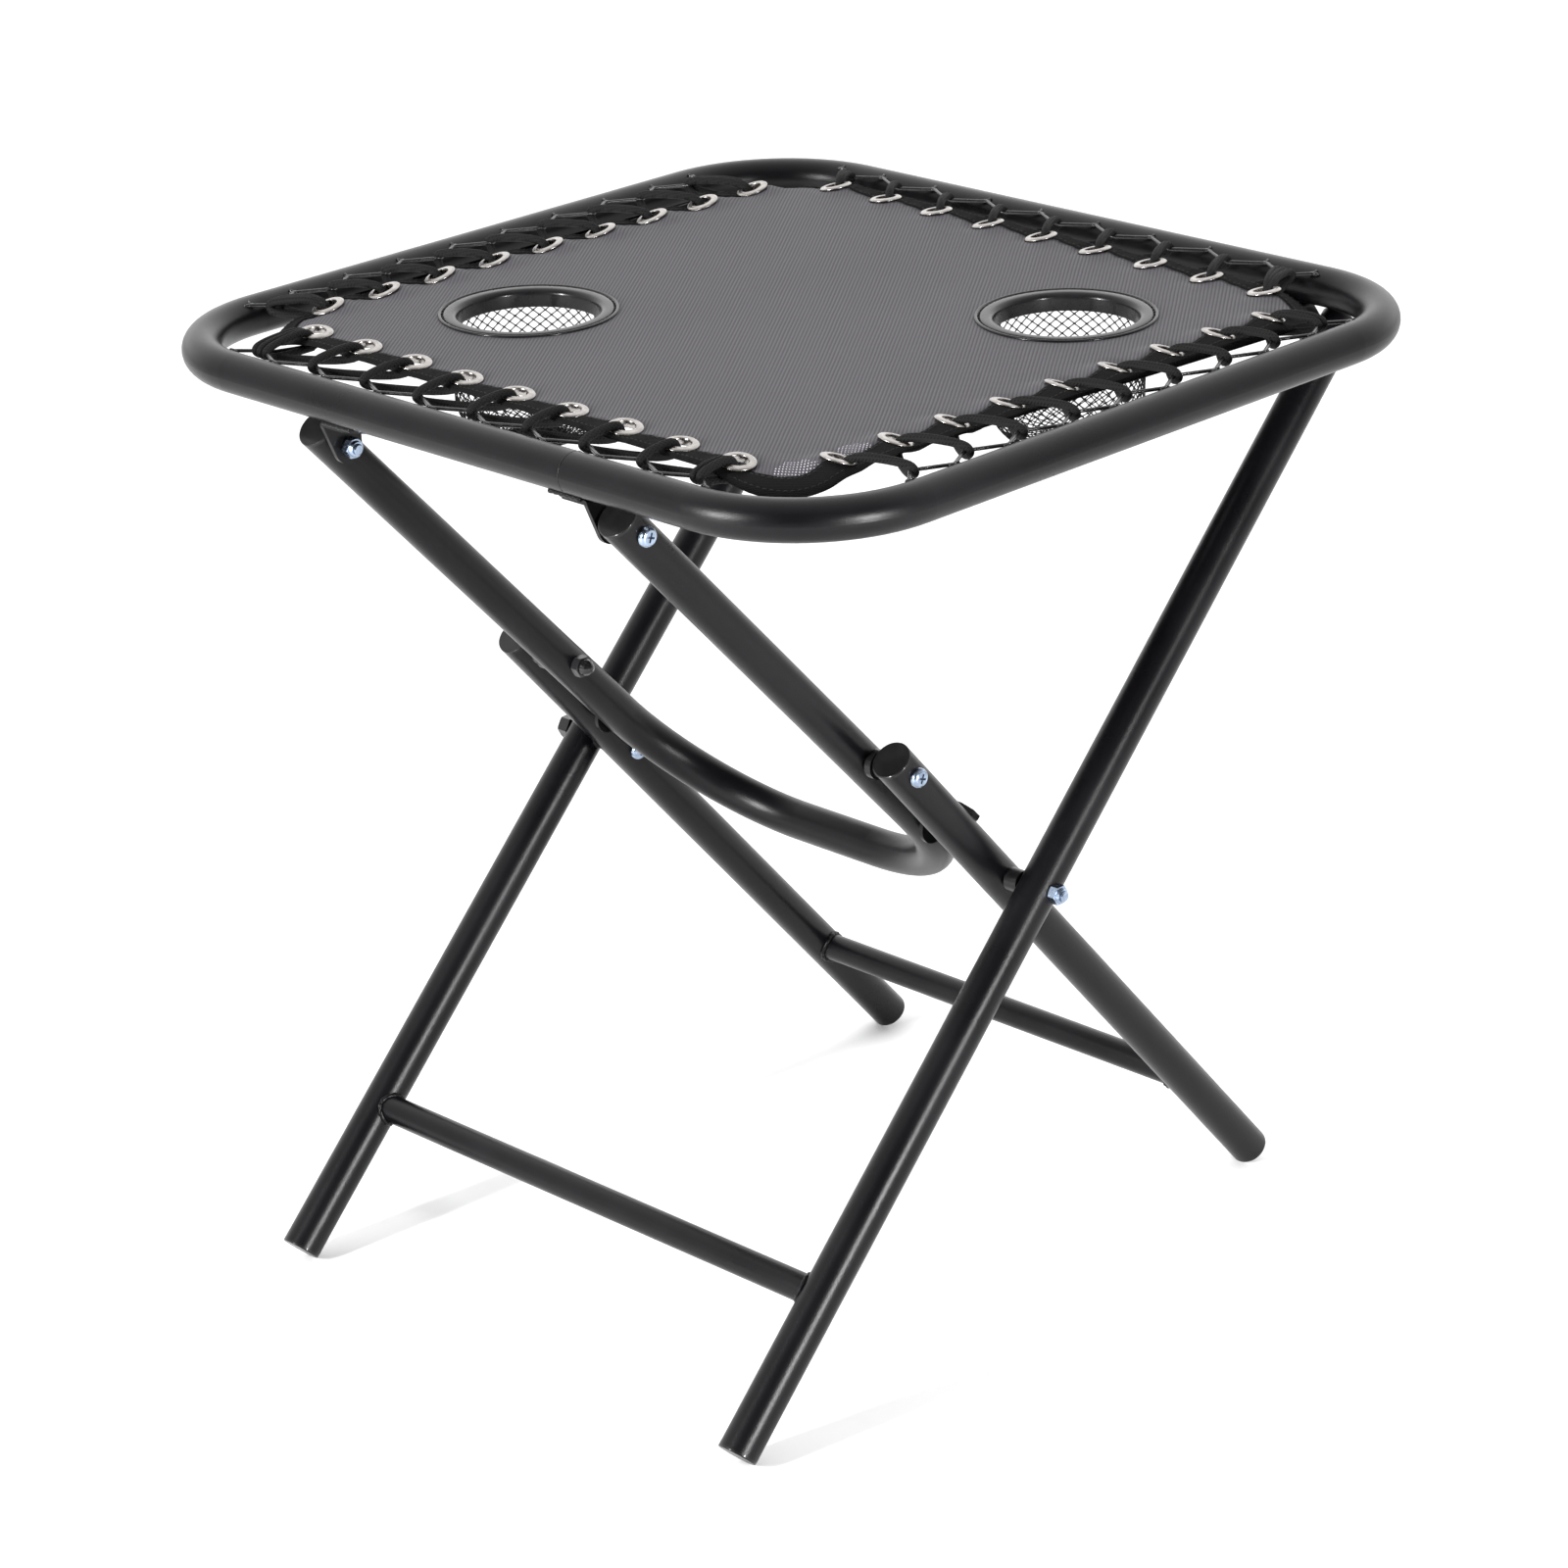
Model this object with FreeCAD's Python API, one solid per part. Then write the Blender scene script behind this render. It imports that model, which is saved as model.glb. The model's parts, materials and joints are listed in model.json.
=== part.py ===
import FreeCAD, Part
import math
import os

# Folding side table: a round-cornered tube ring with a laced fabric top, carried by two
# pairs of crossed legs and a U-shaped support arm.  Millimetres, +Z up, ground at z = 0,
# origin on the ground under the middle of the ring.  +X runs from the arm's side of the
# ring to the outer legs' side, and the frame is mirrored front (-Y) to back (+Y).

V = FreeCAD.Vector

# ---- driving dimensions ---------------------------------------------------------------
tube_d = 22.0            # ring, legs and arm
wall = 1.2               # steel tube wall
bar_d = 16.0             # crossbars
ring_half_x = 240.0      # ring centreline
ring_half_y = 250.0
ring_corner_r = 76.0
ring_z = 526.3

outer_y = 175.5          # the three layers of tubes, from the middle plane
inner_y = 144.7
arm_y = 113.6

top_pivot_z = 498.0      # all four pivots under the ring
arm_pivot_x = -227.74
leg_pivot_x = -1.0       # where the legs cross
leg_pivot_z = 250.0
link_z = 330.0           # inner leg to support arm
outer_angle = 45.38      # legs' slope from the ground, degrees
inner_angle = 48.69
arm_reach = 373.0        # arm pivot to the bottom of the U
arm_bend_r = 85.0
outer_end = 11.5         # tube beyond its end pivot
link_end = 13.0
outer_bar_z = 74.4
inner_bar_z = 72.7

bolt_r = 3.0
hole_clearance = 0.05    # running clearance of a bolt in its tube
side_gap = 0.3           # free play between two pieces that turn past each other
plate = 2.5              # bracket sheet
plug_head = 1.6
plug_round = 0.8
plug_stem = 6.0

fabric_z = 536.2         # middle of the fabric
panel_turn = -2.15       # degrees by which the lacing pulls the fabric round in its ring
panel_shift_x = -2.3     # and how far it pulls it off the middle
panel_shift_y = -4.5
grommet_x = 191.7        # grommet lines
grommet_y = 199.2
grommets_per_side = 9
pitch_x = 39.2           # along the front and back sides
pitch_y = 41.4           # along the left and right sides
hem = 12.5               # binding beyond the grommet line
hem_t = 2.4
fabric_t = 1.0
panel_corner = 24.0      # rounding of the fabric's corners
cup_x = 87.0             # cup centres, from the middle between them
cup_y = 115.7
cup_shift_x = -1.5       # that middle, from the middle of the ring
cup_shift_y = -6.8
cup_r = 38.5             # opening
cup_flange_r = 49.2
cup_depth = 8.5          # sleeve below the fabric
cup_mouth = 3.0          # rounding at the top of the opening
net_depth = 70.0
cord_r = 2.3
wire_r = 1.0
weld_in = 7.8            # zigzag wire's welds, from the ring's centreline
weld_up = 8.7
wire_depth = 11.0        # from the welds to the wire's inner bends

tube_r = tube_d / 2
bar_r = bar_d / 2
inner_r = tube_r - wall
hole_r = bolt_r + hole_clearance
FRONT_BACK = (-1, 1)


# ---- points in the XZ plane -----------------------------------------------------------
def slope(angle):
    """Unit direction up and to the right at an angle from the ground."""
    a = math.radians(angle)
    return V(math.cos(a), 0, math.sin(a))


def on_line(start, direction, distance):
    return start + direction * distance


outer_dir = slope(outer_angle)                  # foot to top, towards +X
inner_dir = slope(180 - inner_angle)            # foot to top, towards -X
leg_pivot = V(leg_pivot_x, 0, leg_pivot_z)
outer_pivot = on_line(leg_pivot, outer_dir, (top_pivot_z - leg_pivot_z) / outer_dir.z)
link_pivot = on_line(leg_pivot, inner_dir, (link_z - leg_pivot_z) / inner_dir.z)
arm_pivot = V(arm_pivot_x, 0, top_pivot_z)
arm_dir = (link_pivot - arm_pivot).normalize()  # pivot to U bend, down and to the right


def foot_height(angle):
    """Height of a plugged tube end whose rounded rim just touches the ground."""
    a = math.radians(angle)
    return (tube_r - plug_round) * math.cos(a) + plug_round * (1 - math.sin(a))


def at_height(direction, z):
    return on_line(leg_pivot, direction, (z - leg_pivot_z) / direction.z)


outer_foot = at_height(outer_dir, foot_height(outer_angle))
inner_foot = at_height(inner_dir, foot_height(inner_angle))
outer_top = on_line(outer_pivot, outer_dir, outer_end)
inner_top = on_line(link_pivot, inner_dir, link_end)
arm_top = on_line(arm_pivot, arm_dir, -link_end)
outer_bar = at_height(outer_dir, outer_bar_z)
inner_bar = at_height(inner_dir, inner_bar_z)


# ---- shape helpers --------------------------------------------------------------------
def moved(point, y):
    return V(point.x, y, point.z)


def rod(start, end, radius):
    line = end - start
    return Part.makeCylinder(radius, line.Length, start, line)


def y_rod(point, y0, y1, radius):
    return rod(moved(point, y0), moved(point, y1), radius)


def revolve(profile, base, axis):
    """Turn a closed (radius, height) outline round an axis that starts at base."""
    points = [V(r, 0, h) for r, h in profile]
    face = Part.Face(Part.makePolygon(points + points[:1]))
    solid = face.revolve(V(0, 0, 0), V(0, 0, 1), 360)
    return place(Part.makeSolid(solid) if solid.ShapeType == "Shell" else solid, base, axis)


def place(solid, base, axis):
    """Carry a shape made along +Z at the origin to a base point and axis."""
    solid.Placement = FreeCAD.Placement(base, FreeCAD.Rotation(V(0, 0, 1), axis))
    return solid


def arc_points(centre, radius, start, end, steps):
    """Points on an arc in an outline, angles in degrees."""
    span = end - start
    angles = [math.radians(start + span * i / steps) for i in range(steps + 1)]
    return [(centre[0] + radius * math.cos(a), centre[1] + radius * math.sin(a)) for a in angles]


def rounded_outline(half_x, half_y, radius, z):
    """Closed wire of a rectangle with round corners."""
    edges = []
    corners = [(1, 1, 0), (-1, 1, 90), (-1, -1, 180), (1, -1, 270)]
    ends = []
    for sx, sy, turn in corners:
        centre = V(sx * (half_x - radius), sy * (half_y - radius), z)
        arm = [centre + V(math.cos(math.radians(turn + a)), math.sin(math.radians(turn + a)), 0) * radius
               for a in (0, 45, 90)]
        ends.append(arm)
    for index, arm in enumerate(ends):
        edges.append(Part.Arc(*arm).toShape())
        following = ends[(index + 1) % len(ends)]
        edges.append(Part.makeLine(arm[2], following[0]))
    return Part.Wire(edges)


def flat_plate(outline, thickness):
    return Part.Face(outline).extrude(V(0, 0, thickness))


def sweep(path, start, direction, radius):
    """Solid of circular section along a path of lines and tangent arcs."""
    profile = Part.Wire([Part.makeCircle(radius, start, direction)])
    return path.makePipeShell([profile], True, False)


def bent_path(points, bend):
    """Open wire through points with each corner rounded by a tangent arc."""
    edges = []
    last = points[0]
    for before, corner, after in zip(points, points[1:], points[2:]):
        back = (before - corner).normalize()
        ahead = (after - corner).normalize()
        half = back.getAngle(ahead) / 2
        room = 0.45 * min((before - corner).Length, (after - corner).Length)
        cut = min(room, bend / math.tan(half))
        radius = cut * math.tan(half)
        start = corner + back * cut
        end = corner + ahead * cut
        middle_dir = (back + ahead).normalize()
        middle = corner + middle_dir * (radius / math.sin(half) - radius)
        edges.append(Part.makeLine(last, start))
        edges.append(Part.Arc(start, middle, end).toShape())
        last = end
    edges.append(Part.makeLine(last, points[-1]))
    return Part.Wire(edges)


def bent_rod(points, radius, bend):
    return sweep(bent_path(points, bend), points[0], points[1] - points[0], radius)


def group(solids):
    return Part.makeCompound(solids)


# ---- steel frame ----------------------------------------------------------------------
def top_ring():
    path = rounded_outline(ring_half_x, ring_half_y, ring_corner_r, ring_z)
    start = V(ring_half_x, ring_half_y - ring_corner_r, ring_z)
    outside = sweep(path, start, V(0, 1, 0), tube_r)
    inside = sweep(path, start, V(0, 1, 0), inner_r)
    return outside.cut(inside)


def leg(foot, top, direction, y, pivots):
    """Open tube between its two plug heads, drilled across at its pivots."""
    start = moved(on_line(foot, direction, plug_head), y)
    end = moved(on_line(top, direction, -plug_head), y)
    tube = rod(start, end, tube_r).cut(rod(start, end, inner_r))
    for pivot in pivots:
        tube = tube.cut(y_rod(pivot, y - tube_r - 1, y + tube_r + 1, hole_r))
    return tube


def end_plug(face_centre, outward):
    """Plastic plug: a thin round-edged head on the tube end and a stem inside it."""
    stem_r = inner_r - 0.05
    rim = arc_points((tube_r - plug_round, plug_head - plug_round), plug_round, 0, 90, 5)
    profile = [(0, -plug_stem), (stem_r - 1, -plug_stem), (stem_r, 1.5 - plug_stem), (stem_r, 0),
               (tube_r, 0)]
    profile += rim + [(0, plug_head)]
    return revolve(profile, face_centre - outward * plug_head, outward)


def plug_pair(end, outward, y):
    return group([end_plug(moved(end, side * y), outward) for side in FRONT_BACK])


def crossbar(point, y, direction):
    """Bar between two legs, its ends hollowed to sit on the round tubes."""
    bar = y_rod(point, -y, y, bar_r).cut(y_rod(point, -y, y, bar_r - wall))
    for side in FRONT_BACK:
        centre = moved(point, side * y)
        bar = bar.cut(rod(centre - direction * 40, centre + direction * 40, tube_r))
    return bar


def support_arm():
    """One tube: two straight arms joined by a wide U bend."""
    start = moved(on_line(arm_top, arm_dir, plug_head), -arm_y)
    bend_start = on_line(arm_pivot, arm_dir, arm_reach - arm_bend_r)
    bottom = on_line(arm_pivot, arm_dir, arm_reach)
    halfway = on_line(bend_start, arm_dir, arm_bend_r * math.sin(math.radians(45)))
    flat_y = arm_y - arm_bend_r
    halfway_y = flat_y + arm_bend_r * math.cos(math.radians(45))
    path = Part.Wire([
        Part.makeLine(start, moved(bend_start, -arm_y)),
        Part.Arc(moved(bend_start, -arm_y), moved(halfway, -halfway_y), moved(bottom, -flat_y)).toShape(),
        Part.makeLine(moved(bottom, -flat_y), moved(bottom, flat_y)),
        Part.Arc(moved(bottom, flat_y), moved(halfway, halfway_y), moved(bend_start, arm_y)).toShape(),
        Part.makeLine(moved(bend_start, arm_y), moved(start, arm_y))])
    tube = sweep(path, start, arm_dir, tube_r).cut(sweep(path, start, arm_dir, inner_r))
    for side in FRONT_BACK:
        for pivot in (arm_pivot, link_pivot):
            y = side * arm_y
            tube = tube.cut(y_rod(pivot, y - tube_r - 1, y + tube_r + 1, hole_r))
    return tube


# ---- brackets under the ring ----------------------------------------------------------
washer_t = 1.0
ear_gap = washer_t + 2 * side_gap      # tube to bracket ear
ear_r = 9.0
bracket_top = ring_z - tube_r
flange_length = 30.0
flange_half = 12.5
flange_shift = 8.5       # flange middle, from the ring's centreline towards the table's middle


def tangent_point(corner, centre, radius, side):
    """Where a line from a corner in the XZ plane touches a circle, on one side."""
    line = corner - centre
    base = math.atan2(line.z, line.x)
    turn = side * math.acos(radius / line.Length)
    return centre + V(math.cos(base + turn), 0, math.sin(base + turn)) * radius


def bracket(pivot, ring_x, tube_y, side):
    """Bent sheet: a flange welded under the ring and a tapered ear beside the tube."""
    ear_out = side * (tube_y - tube_r - ear_gap)
    ear_in = ear_out - side * plate
    middle = ring_x - math.copysign(flange_shift, ring_x)
    low, high = middle - flange_half, middle + flange_half
    left, right = V(low, 0, bracket_top - plate), V(high, 0, bracket_top - plate)
    touch_left = tangent_point(left, pivot, ear_r, 1)
    touch_right = tangent_point(right, pivot, ear_r, -1)
    bottom = pivot - V(0, 0, ear_r)
    outline = Part.Wire([
        Part.makeLine(V(low, 0, bracket_top), left),
        Part.makeLine(left, touch_left),
        Part.Arc(touch_left, bottom, touch_right).toShape(),
        Part.makeLine(touch_right, right),
        Part.makeLine(right, V(high, 0, bracket_top)),
        Part.makeLine(V(high, 0, bracket_top), V(low, 0, bracket_top))])
    ear = Part.Face(outline).extrude(V(0, ear_in - ear_out, 0))
    ear.translate(V(0, ear_out, 0))
    tip = ear_out - side * flange_length
    shoulder = ear_out - side * (flange_length - 12)
    corners = [V(low, ear_out, 0), V(high, ear_out, 0), V(high, shoulder, 0), V(high - 7, tip, 0),
               V(low + 7, tip, 0), V(low, shoulder, 0)]
    flange = Part.Face(Part.makePolygon(corners + corners[:1])).extrude(V(0, 0, plate))
    flange.translate(V(0, 0, bracket_top - plate))
    sheet = ear.fuse(flange).removeSplitter()
    fold = [edge for edge in sheet.Edges
            if abs(edge.CenterOfMass.y - ear_out) < 0.01
            and abs(edge.CenterOfMass.z - bracket_top) < 0.01]
    sheet = sheet.makeFillet(plate * 0.9, fold)
    return sheet.cut(y_rod(pivot, ear_out + side, ear_in - side, hole_r))


# ---- fasteners ------------------------------------------------------------------------
head_r = 5.4
head_h = 3.4
nut_flats = 10.0
nut_h = 5.0
collar_h = 1.8
thread_out = 1.4


def pan_head_bolt(head_face, axis, length):
    """Cross-recess pan-head bolt: axis runs from the head's underside to the thread end."""
    shank = bolt_r - hole_clearance
    profile = [(0, length), (shank - 0.6, length), (shank, length - 0.6), (shank, 0),
               (head_r, 0), (head_r, -0.9)]
    profile += arc_points((head_r - 2.5, -0.9), 2.5, 0, -70, 5)[1:]
    profile += [(0, -head_h)]
    bolt = revolve(profile, V(0, 0, 0), V(0, 0, 1))
    for turn in (0, 90):
        slot = Part.makeBox(5.2, 1.1, 2.2, V(-2.6, -0.55, -head_h - 0.2))
        slot.rotate(V(0, 0, 0), V(0, 0, 1), turn + 20)
        bolt = bolt.cut(slot)
    return place(bolt, head_face, axis)


def hexagon(flats, height):
    radius = flats / math.sqrt(3)
    corners = [V(radius * math.cos(math.radians(a)), radius * math.sin(math.radians(a)), 0)
               for a in range(0, 361, 60)]
    return Part.Face(Part.makePolygon(corners)).extrude(V(0, 0, height))


def chamfered_hexagon(flats, height):
    """Hexagon prism with the bevel a nut has at both ends."""
    reach = flats / math.sqrt(3)
    bevel = 0.7
    profile = [(0, 0), (reach - bevel, 0), (reach, bevel * 0.6), (reach, height - bevel * 0.6),
               (reach - bevel, height), (0, height)]
    return hexagon(flats, height).common(revolve(profile, V(0, 0, 0), V(0, 0, 1)))


def lock_nut(base, axis):
    """Hexagon nut with the rounded collar of its locking insert."""
    collar = Part.makeCone(4.4, 3.7, collar_h, V(0, 0, nut_h), V(0, 0, 1))
    nut = chamfered_hexagon(nut_flats, nut_h).fuse(collar).removeSplitter()
    nut = nut.cut(Part.makeCylinder(bolt_r, nut_h + collar_h + 2, V(0, 0, -1)))
    return place(nut, base, axis)


def cap_nut(base, axis):
    """Closed hexagon nut that hides the thread end."""
    nut = chamfered_hexagon(nut_flats + 2.5, nut_h + 2.4)
    return place(nut.cut(Part.makeCylinder(bolt_r, nut_h + 1, V(0, 0, -1))), base, axis)


def washer(point, y0, y1, radius):
    return y_rod(point, y0, y1, radius).cut(y_rod(point, y0 - 1, y1 + 1, bolt_r + 0.1))


def bracket_pivot(pivot, tube_y, side):
    """Bolt, washer and nut that hang one tube from its bracket ear."""
    inward = V(0, -side, 0)
    tube_out = side * (tube_y + tube_r + side_gap)
    tube_in = side * (tube_y - tube_r - side_gap)
    ear_in = side * (tube_y - tube_r - ear_gap - plate)
    length = abs(tube_out - ear_in) + nut_h + collar_h + thread_out
    bolt = pan_head_bolt(moved(pivot, tube_out), inward, length)
    ring = washer(pivot, min(tube_in, tube_in - side * washer_t),
                  max(tube_in, tube_in - side * washer_t), 8.0)
    nut = lock_nut(moved(pivot, ear_in), inward)
    return bolt, ring, nut


def leg_pivot_set(side):
    """Bolt from inside the inner leg, spacer between the legs, nut outside the outer leg.

    The front nut is a plain lock nut; the back one is closed.
    """
    outward = V(0, side, 0)
    head_y = side * (inner_y - tube_r - side_gap)
    nut_y = side * (outer_y + tube_r)
    past_leg = nut_h - 0.5 if side > 0 else nut_h + collar_h + thread_out
    bolt = pan_head_bolt(moved(leg_pivot, head_y), outward, abs(nut_y - head_y) + past_leg)
    low, high = inner_y + tube_r + side_gap, outer_y - tube_r
    ends = sorted((side * low, side * high))
    spacer = washer(leg_pivot, ends[0], ends[1], 6.5)
    make_nut = cap_nut if side > 0 else lock_nut
    return bolt, spacer, make_nut(moved(leg_pivot, nut_y), outward)


link_split = 129.0       # the link bolt is two pieces, one on each body, parted here
cap_h = 6.0


def link_set(side):
    """Link bolt and spacer on the inner leg; stud, washer, nut and cap on the arm."""
    inward = V(0, -side, 0)
    head_y = side * (inner_y + tube_r)
    spacer_y = side * (inner_y - tube_r)
    leg_end = side * (link_split + side_gap)
    arm_end = side * (link_split - side_gap)
    arm_out = side * (arm_y + tube_r)
    arm_in = side * (arm_y - tube_r)
    bolt = pan_head_bolt(moved(link_pivot, head_y), inward, abs(head_y - leg_end))
    spacer = washer(link_pivot, min(spacer_y, leg_end), max(spacer_y, leg_end), 6.5)
    ring = washer(link_pivot, min(arm_end, arm_out), max(arm_end, arm_out), 8.0)
    nut_top = abs(arm_in) - nut_h
    stud_end = side * (nut_top - 2.0)
    stud = y_rod(link_pivot, arm_end, stud_end, bolt_r - hole_clearance)
    nut = chamfered_hexagon(nut_flats + 1, nut_h).cut(Part.makeCylinder(bolt_r, nut_h + 2, V(0, 0, -1)))
    nut = place(nut, moved(link_pivot, arm_in), inward)
    dome = arc_points((0, 0), 4.8, 0, 90, 8)
    dome = [(r, h * cap_h / 4.8) for r, h in dome]
    hollow = [(0, 2.4), (bolt_r + 0.1, 2.4), (bolt_r + 0.1, 0)]
    cap = revolve(hollow + dome, moved(link_pivot, side * nut_top), inward)
    return bolt, spacer, ring, stud, nut, cap


# ---- stops that keep the arm and the inner legs from swinging past each other --------
stop_at = 64.0           # along the arm from the link pivot
stop_r = 9.0             # rounded lower end of the plate
stop_t = 2.5
stop_tab = 21.0          # tab length across the leg


def arm_stop(side):
    """Plate welded to the arm's outer side, with a tab bent over the top of the inner leg."""
    centre = on_line(link_pivot, arm_dir, stop_at)
    up = V(-arm_dir.z, 0, arm_dir.x)
    leg_axis_drop = stop_at * math.sin(math.radians(inner_angle) + math.atan2(arm_dir.z, arm_dir.x))
    tab_low = tube_r - leg_axis_drop + 2 * side_gap
    tab_high = tab_low + stop_t

    def point(along, height):
        return centre + arm_dir * along + up * height

    outline = Part.Wire([
        Part.makeLine(point(-stop_r, -3), point(-stop_r, tab_high)),
        Part.makeLine(point(-stop_r, tab_high), point(stop_r - 2, tab_high)),
        Part.makeLine(point(stop_r - 2, tab_high), point(stop_r, tab_low - 2)),
        Part.makeLine(point(stop_r, tab_low - 2), point(stop_r, -3)),
        Part.Arc(point(stop_r, -3), point(0, -3 - stop_r), point(-stop_r, -3)).toShape()])
    arm_side = side * (arm_y + tube_r)
    sheet = Part.Face(outline).extrude(V(0, side * stop_t, 0))
    sheet.translate(V(0, arm_side, 0))
    corners = [point(-stop_r, tab_low), point(-stop_r, tab_high), point(stop_r - 2, tab_high),
               point(stop_r - 1, tab_low)]
    tab = Part.Face(Part.makePolygon(corners + corners[:1])).extrude(V(0, side * (stop_tab + stop_t), 0))
    tab.translate(V(0, arm_side, 0))
    tip = moved(point(0, tab_low), side * (arm_y + tube_r + stop_tab + stop_t))
    cut = Part.makeBox(9, 9, 9, V(-4.5, -4.5, -4.5))
    cut.rotate(V(0, 0, 0), V(0, 0, 1), 45)
    for sign in (-1, 1):
        corner = cut.copy()
        turn = FreeCAD.Rotation(arm_dir, V(0, 1, 0), up, "XYZ")
        corner.Placement = FreeCAD.Placement(tip + arm_dir * sign * (stop_r + 1), turn).multiply(corner.Placement)
        tab = tab.cut(corner)
    return sheet.fuse(tab).removeSplitter()


# ---- fabric top -----------------------------------------------------------------------
# Each side's outward direction, and the direction in which its cord runs: round the table
# from left to front to right to back.
SIDES = {
    "left": (V(-1, 0, 0), V(0, -1, 0)),
    "front": (V(0, -1, 0), V(1, 0, 0)),
    "right": (V(1, 0, 0), V(0, 1, 0)),
    "back": (V(0, 1, 0), V(-1, 0, 0)),
}


def side_sizes(side):
    """Grommet line and ring centreline from the middle, and the pitch along the side."""
    if side in ("left", "right"):
        return grommet_x, ring_half_x, pitch_y
    return grommet_y, ring_half_y, pitch_x


def side_steps():
    middle = (grommets_per_side - 1) / 2
    return [i - middle for i in range(grommets_per_side)]


def panel_placement():
    """Where the lacing holds the panel: turned, and pulled a little off the middle."""
    turn = FreeCAD.Rotation(V(0, 0, 1), panel_turn)
    return FreeCAD.Placement(V(panel_shift_x, panel_shift_y, 0), turn)


def grommet_centres(side):
    """Centres along one side of the laced panel, in the order in which its cord runs."""
    outward, along = SIDES[side]
    line, _, pitch = side_sizes(side)
    laced = panel_placement()
    return [laced.multVec(outward * line + along * step * pitch) for step in side_steps()]


def cup_centre(sign):
    """Middle of a cup opening: -1 is the left back one, 1 the right front one."""
    return V(cup_shift_x + sign * cup_x, cup_shift_y - sign * cup_y, fabric_z)


grommet_barrel = 5.5
grommet_flange = 9.6
grommet_bore = 4.9


def grommet_holes(z0, z1):
    holes = []
    for side in SIDES:
        for centre in grommet_centres(side):
            holes.append(Part.makeCylinder(grommet_barrel + 0.05, z1 - z0, V(centre.x, centre.y, z0)))
    return holes


def fabric_panel():
    z = fabric_z - fabric_t / 2
    sheet = flat_plate(rounded_outline(grommet_x, grommet_y, panel_corner, z), fabric_t)
    sheet.Placement = panel_placement()
    for sign in FRONT_BACK:
        base = cup_centre(sign) - V(0, 0, fabric_t / 2 + 1)
        sheet = sheet.cut(Part.makeCylinder(cup_r + 2.05, fabric_t + 2, base))
    return sheet.cut(group(grommet_holes(z - 1, z + fabric_t + 1)))


def edge_binding():
    z = fabric_z - hem_t / 2
    outer = flat_plate(rounded_outline(grommet_x + hem, grommet_y + hem, panel_corner + hem, z), hem_t)
    inner = flat_plate(rounded_outline(grommet_x, grommet_y, panel_corner, z), hem_t)
    band = outer.cut(inner)
    band.Placement = panel_placement()
    return band.cut(group(grommet_holes(z - 1, z + hem_t + 1)))


def grommet(centre):
    """Rolled eyelet: a domed flange above, a barrel through the hem, a flat washer below."""
    top = hem_t / 2 + 0.05
    dome = arc_points(((grommet_bore + grommet_flange) / 2, top), 1.0, 0, 180, 8)
    half = (grommet_flange - grommet_bore) / 2
    middle = (grommet_bore + grommet_flange) / 2
    dome = [(middle + (r - middle) * half, h) for r, h in dome]
    low = -hem_t / 2 - 0.05
    profile = dome + [(grommet_bore, low - 0.7), (grommet_flange - 0.4, low - 0.7),
                      (grommet_flange - 0.4, low), (grommet_barrel, low), (grommet_barrel, top)]
    return revolve(profile, V(centre.x, centre.y, fabric_z), V(0, 0, 1))


def cup_ring(centre):
    """Plastic sleeve with a round mouth and a broad flat flange that is sewn to the fabric."""
    low = fabric_t / 2
    top = low + 1.5
    wall_r = cup_r + 2.0
    mouth = arc_points((cup_r + cup_mouth, top - cup_mouth), cup_mouth, 180, 90, 6)
    edge = arc_points((cup_flange_r - 0.75, low + 0.75), 0.75, 90, -90, 8)
    profile = [(cup_r, -cup_depth)] + mouth + edge + [(wall_r, low), (wall_r, -cup_depth)]
    return revolve(profile, centre, V(0, 0, 1))


def cup_net(centre):
    """Outer shape of the mesh bag, open at the top, with a rounded bottom."""
    outer = cup_r + 4.4
    bottom = -net_depth
    corner = 24.0
    skin = 1.0
    curve = arc_points((outer - 2 - corner, bottom + corner), corner, 0, -90, 8)
    inner = arc_points((outer - 2 - corner, bottom + corner), corner - skin, -90, 0, 8)
    profile = [(outer, -fabric_t / 2 - 0.05)] + curve + [(0, bottom), (0, bottom + skin)]
    profile += inner + [(outer - skin, -fabric_t / 2 - 0.05)]
    return revolve(profile, centre, V(0, 0, 1))


# ---- lacing ---------------------------------------------------------------------------
wire_drop = 1.6          # wire's inner bends, below the middle of the fabric
apex_ahead = {"left": -5.0, "front": 6.0, "right": 6.5, "back": 4.0}  # past the even places


def wire_bend(side, step):
    """Inner bend of the zigzag wire that one grommet's cord hooks round."""
    outward, along = SIDES[side]
    _, ring_half, pitch = side_sizes(side)
    out = ring_half - weld_in - wire_depth
    place_along = step * pitch + apex_ahead[side]
    return outward * out + along * place_along + V(0, 0, fabric_z - wire_drop)


def elastic_cord(side):
    """Up through each grommet, out over the hem, round the wire and back underneath."""
    outward, along = SIDES[side]
    hook = cord_r + wire_r
    route = []
    for step, centre in zip(side_steps(), grommet_centres(side)):
        eye = centre + V(0, 0, fabric_z)
        bend = wire_bend(side, step)
        route.append(eye - along * 2.0 + outward * 2.0 - V(0, 0, 7.4))
        route.append(eye + outward * 2.4 + V(0, 0, 5.6))
        route.append(bend - outward * 1.5 + V(0, 0, hook + 0.6))
        route.append(bend + outward * (hook + 1.2))
        route.append(bend - outward * 1.5 + along * 1.5 - V(0, 0, hook + 0.6))
    return bent_rod(route, cord_r, 2.6)


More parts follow.
